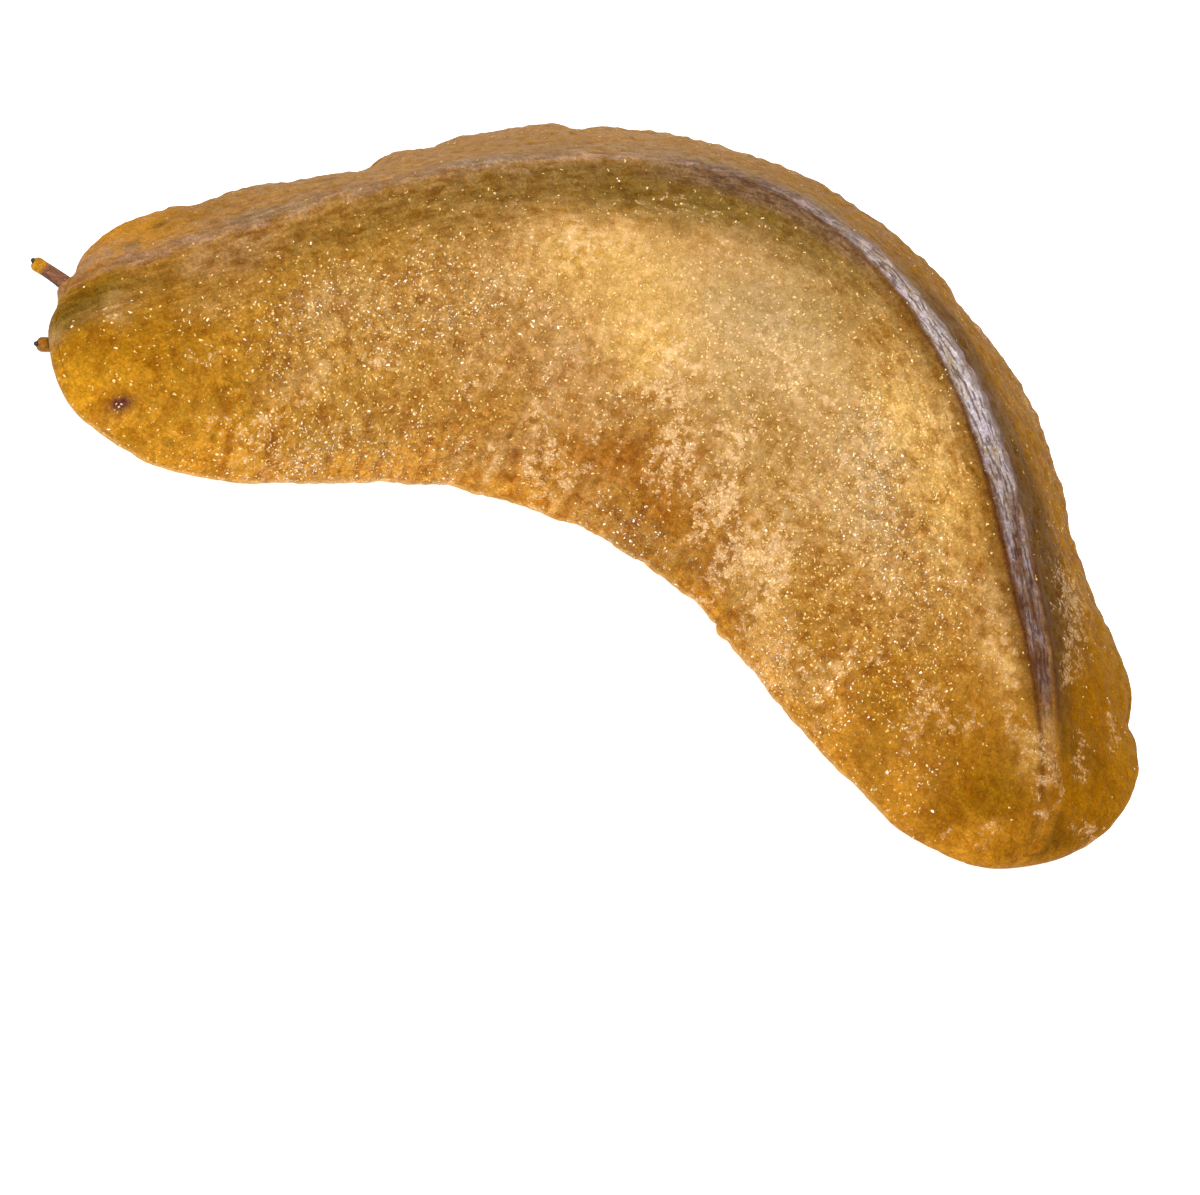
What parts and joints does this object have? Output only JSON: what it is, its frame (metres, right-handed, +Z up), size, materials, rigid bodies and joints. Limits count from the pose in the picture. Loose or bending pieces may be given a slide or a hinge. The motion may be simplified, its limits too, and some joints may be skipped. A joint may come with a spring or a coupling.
{
  "type": "pancake slug",
  "caption": "Life-size still model of a flattened slug at rest on its sole, its body bent to one side, with a low keel along the back and a thin wavy edge.",
  "frame": {"origin": "on the flat of the sole, under the middle of the body's length", "axes": "+Z up from the sole; +X from the head towards the tail; +Y to the outer side of the body's bend, which is the slug's right"},
  "size_m": [0.0767, 0.0446, 0.0145],
  "materials": {
    "wet_back_skin": "wet, finely granular amber and olive-brown skin with pale blotches",
    "pale_foot_skin": "soft, moist pale skin",
    "brown_head_skin": "moist brown skin",
    "black_eye": "small glossy black eye"
  },
  "bodies": {
    "root": {"back_front": "wet_back_skin", "back_fore": "wet_back_skin", "back_middle": "wet_back_skin", "back_rear": "wet_back_skin", "back_tail": "wet_back_skin", "foot_front": "pale_foot_skin", "foot_fore": "pale_foot_skin", "foot_middle": "pale_foot_skin", "foot_rear": "pale_foot_skin", "foot_tail": "pale_foot_skin", "head": "brown_head_skin", "eye_feeler_right": "brown_head_skin", "eye_feeler_left": "brown_head_skin", "lower_feeler_right": "brown_head_skin", "lower_feeler_left": "brown_head_skin", "eye_right": "black_eye", "eye_left": "black_eye"}
  },
  "joints": []
}
